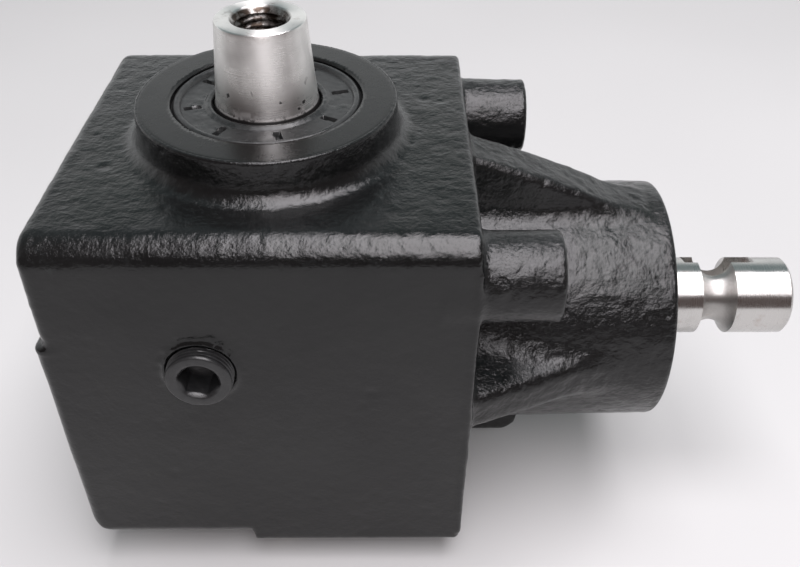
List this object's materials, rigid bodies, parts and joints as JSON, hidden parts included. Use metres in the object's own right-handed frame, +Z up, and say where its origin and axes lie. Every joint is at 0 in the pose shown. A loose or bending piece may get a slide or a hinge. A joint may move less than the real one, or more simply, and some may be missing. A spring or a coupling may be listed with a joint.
{
  "type": "right angle bevel gearbox",
  "caption": "Black cast-iron right angle gearbox: keyed, grooved horizontal input shaft in a ribbed nose, tapered vertical output shaft in a sealed boss, bevel gears inside.",
  "frame": {"origin": "centre of the round resting face under the bottom cover, on the output shaft's axis", "axes": "+Z up along the output shaft, +X outwards along the input shaft, whose axis is 67.5 mm above the origin; +Y away from the oil plug"},
  "size_m": [0.2279, 0.1209, 0.1649],
  "materials": {
    "painted_casting": "semi-gloss black enamel over a rough sand-cast skin",
    "gasket": "matte fibre gasket",
    "plated_steel": "dull zinc plate",
    "blackened_steel": "black oxide under paint",
    "bearing_steel": "ground and polished",
    "pressed_cage": "pressed sheet, dull",
    "seal_rubber": "matte nitrile",
    "spring_steel": "phosphated, oiled",
    "turned_steel": "bright, fine turned",
    "gear_steel": "case hardened, oiled",
    "key_steel": "bright drawn"
  },
  "bodies": {
    "gearcase": {"housing": "painted_casting", "bottom_cover": "painted_casting", "cover_gasket": "gasket", "cover_bolts": "plated_steel", "cover_bolt_washers": "plated_steel", "oil_plug": "blackened_steel", "upper_bearing_cup": "bearing_steel", "lower_bearing_cup": "bearing_steel", "inner_bearing_cup": "bearing_steel", "outer_bearing_cup": "bearing_steel", "output_seal": "seal_rubber", "output_seal_spring": "spring_steel", "input_seal": "seal_rubber", "input_seal_spring": "spring_steel", "preload_shim": "spring_steel", "bearing_circlip": "spring_steel"},
    "output_rotor": {"output_shaft": "turned_steel", "output_gear": "gear_steel", "output_gear_key": "key_steel", "upper_bearing_cone": "bearing_steel", "lower_bearing_cone": "bearing_steel"},
    "input_rotor": {"input_shaft": "turned_steel", "input_pinion": "gear_steel", "pinion_key": "key_steel", "pinion_snap_ring": "spring_steel", "inner_bearing_cone": "bearing_steel", "outer_bearing_cone": "bearing_steel"},
    "upper_roller_set": {"upper_bearing_rollers": "bearing_steel", "upper_bearing_cage": "pressed_cage"},
    "lower_roller_set": {"lower_bearing_rollers": "bearing_steel", "lower_bearing_cage": "pressed_cage"},
    "inner_roller_set": {"inner_bearing_rollers": "bearing_steel", "inner_bearing_cage": "pressed_cage"},
    "outer_roller_set": {"outer_bearing_rollers": "bearing_steel", "outer_bearing_cage": "pressed_cage"}
  },
  "joints": [
    {"name": "output_spin", "type": "hinge", "parent": "gearcase", "child": "output_rotor", "pos_m": [0, 0, 0.0675], "axis": [0, 0, 1], "continuous": true},
    {"name": "input_spin", "type": "hinge", "parent": "gearcase", "child": "input_rotor", "pos_m": [0, 0, 0.0675], "axis": [1, 0, 0], "continuous": true},
    {"name": "upper_rollers_orbit", "type": "hinge", "parent": "gearcase", "child": "upper_roller_set", "pos_m": [0, 0, 0.0675], "axis": [0, 0, 1], "continuous": true},
    {"name": "lower_rollers_orbit", "type": "hinge", "parent": "gearcase", "child": "lower_roller_set", "pos_m": [0, 0, 0.0675], "axis": [0, 0, 1], "continuous": true},
    {"name": "inner_rollers_orbit", "type": "hinge", "parent": "gearcase", "child": "inner_roller_set", "pos_m": [0, 0, 0.0675], "axis": [1, 0, 0], "continuous": true},
    {"name": "outer_rollers_orbit", "type": "hinge", "parent": "gearcase", "child": "outer_roller_set", "pos_m": [0, 0, 0.0675], "axis": [1, 0, 0], "continuous": true}
  ],
  "couplings": [
    {"joint": "input_spin", "follows": "output_spin", "ratio": 1.4118},
    {"joint": "upper_rollers_orbit", "follows": "output_spin", "ratio": 0.425},
    {"joint": "lower_rollers_orbit", "follows": "output_spin", "ratio": 0.4143},
    {"joint": "inner_rollers_orbit", "follows": "output_spin", "ratio": 0.58489},
    {"joint": "outer_rollers_orbit", "follows": "output_spin", "ratio": 0.58489}
  ]
}
